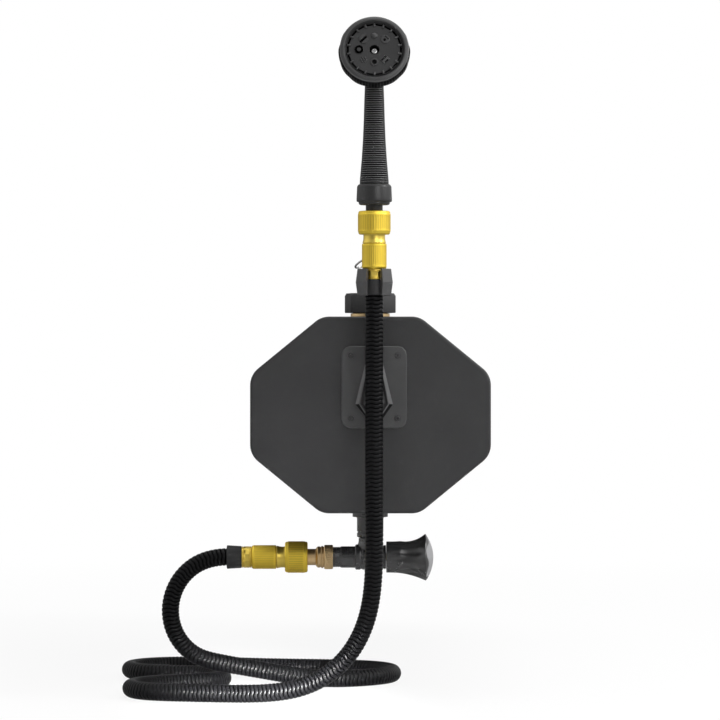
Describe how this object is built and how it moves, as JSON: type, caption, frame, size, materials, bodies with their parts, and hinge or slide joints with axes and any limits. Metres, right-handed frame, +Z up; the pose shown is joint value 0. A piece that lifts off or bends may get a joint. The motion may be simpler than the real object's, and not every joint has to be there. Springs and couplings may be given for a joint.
{
  "type": "roof rack shower tank",
  "caption": "Octagonal roof rack water tank with a filler cap, tap, ribbed hose with quick couplers, and a spray handset clipped into a bracket on its end.",
  "frame": {"origin": "middle of the tank's underside, where a roof rack carries it", "axes": "+X to the right of someone who faces the tap end, +Y along the tank away from them, +Z up"},
  "size_m": [0.3854, 1.0782, 0.6783],
  "materials": {
    "tank_coat": "satin powder coat",
    "bracket_plastic": "fine moulded grain",
    "black_steel": "blackened",
    "cap_plastic": "moulded",
    "tap_plastic": "moulded",
    "insert_plastic": "smooth",
    "grip_plastic": "soft grip",
    "head_plastic": "smooth",
    "hose_plastic": "ribbed",
    "collar_plastic": "moulded",
    "gold_brass": "gold anodised look, bright",
    "raw_brass": "turned",
    "steel": "plain",
    "rubber": "matt"
  },
  "bodies": {
    "tank": {"tank_shell": "tank_coat", "front_end_plate": "tank_coat", "rear_end_plate": "tank_coat", "filler_neck": "raw_brass", "outlet_gasket": "rubber", "outlet_socket": "tap_plastic", "outlet_locknut": "tap_plastic", "tap_body": "tap_plastic", "tap_bonnet": "tap_plastic", "hose_adapter": "raw_brass", "adapter_washer": "rubber", "adapter_seal": "rubber", "lower_coupler_body": "gold_brass", "lower_release_spring": "steel", "lower_sleeve_nut": "gold_brass", "lower_hose_tail": "gold_brass", "lower_hose_collar": "collar_plastic", "shower_hose": "hose_plastic", "upper_hose_collar": "collar_plastic", "upper_hose_tail": "gold_brass", "upper_sleeve_nut": "gold_brass", "upper_coupler_body": "gold_brass", "upper_release_spring": "steel", "bracket_plate": "bracket_plastic", "plate_screw_upper_left": "black_steel", "plate_screw_upper_right": "black_steel", "plate_screw_lower_left": "black_steel", "plate_screw_lower_right": "black_steel", "handset_holder": "bracket_plastic"},
    "cap_seal": {"cap_gasket": "rubber"},
    "cap": {"filler_cap": "cap_plastic", "relief_valve_body": "raw_brass", "relief_spring": "steel"},
    "relief_plunger": {"relief_stem": "steel"},
    "pull_ring": {"pull_ring": "steel"},
    "tap_closer": {"tap_disc": "rubber"},
    "tap_handle": {"tap_stem": "raw_brass", "tap_knob": "tap_plastic", "knob_screw": "steel", "knob_insert": "insert_plastic"},
    "lower_release": {"lower_release_ring": "gold_brass"},
    "upper_release": {"upper_release_ring": "gold_brass"},
    "handset": {"handset_nipple": "head_plastic", "handset_seal": "rubber", "handset_base": "head_plastic", "handset_handle": "grip_plastic", "head_shell": "head_plastic", "dial_screw": "steel"},
    "dial": {"spray_dial": "grip_plastic", "nozzle_plate": "head_plastic"}
  },
  "joints": [
    {"name": "cap_rise", "type": "slide", "parent": "tank", "child": "cap_seal", "axis": [0, 0, 1], "range_m": [0, 0.012]},
    {"name": "cap_turn", "type": "hinge", "parent": "cap_seal", "child": "cap", "pos_m": [0, -0.39, 0.212], "axis": [0, 0, 1], "range_deg": [0, 1440]},
    {"name": "relief_pull", "type": "slide", "parent": "cap", "child": "relief_plunger", "axis": [0, 0, 1], "range_m": [0, 0.003], "stiffness_N_per_m": 2000, "springref_m": -0.003, "deforming": ["relief_spring"]},
    {"name": "pull_ring_swing", "type": "hinge", "parent": "relief_plunger", "child": "pull_ring", "pos_m": [0, -0.39, 0.2586], "axis": [0.5, 0.866, 0], "range_deg": [0, 106]},
    {"name": "valve_rise", "type": "slide", "parent": "tank", "child": "tap_closer", "axis": [1, 0, 0], "range_m": [0, 0.005]},
    {"name": "knob_turn", "type": "hinge", "parent": "tap_closer", "child": "tap_handle", "pos_m": [0.03, -0.39, -0.0492], "axis": [1, 0, 0], "range_deg": [0, 900]},
    {"name": "lower_release", "type": "slide", "parent": "tank", "child": "lower_release", "axis": [-1, 0, 0], "range_m": [0, 0.005], "stiffness_N_per_m": 800, "springref_m": -0.005, "deforming": ["lower_release_spring"]},
    {"name": "upper_release", "type": "slide", "parent": "tank", "child": "upper_release", "axis": [0, 0, -1], "range_m": [0, 0.005], "stiffness_N_per_m": 800, "springref_m": -0.005, "deforming": ["upper_release_spring"]},
    {"name": "head_swivel", "type": "hinge", "parent": "tank", "child": "handset", "pos_m": [0.0036, -0.543, 0.3], "axis": [0, 0, 1], "continuous": true},
    {"name": "dial_turn", "type": "hinge", "parent": "handset", "child": "dial", "pos_m": [0.0036, -0.569, 0.4594], "axis": [0, -0.9613, 0.2756], "continuous": true}
  ],
  "couplings": [
    {"joint": "cap_rise", "follows": "cap_turn", "m_per_rad": 0.00047746},
    {"joint": "valve_rise", "follows": "knob_turn", "m_per_rad": 0.0003183}
  ]
}
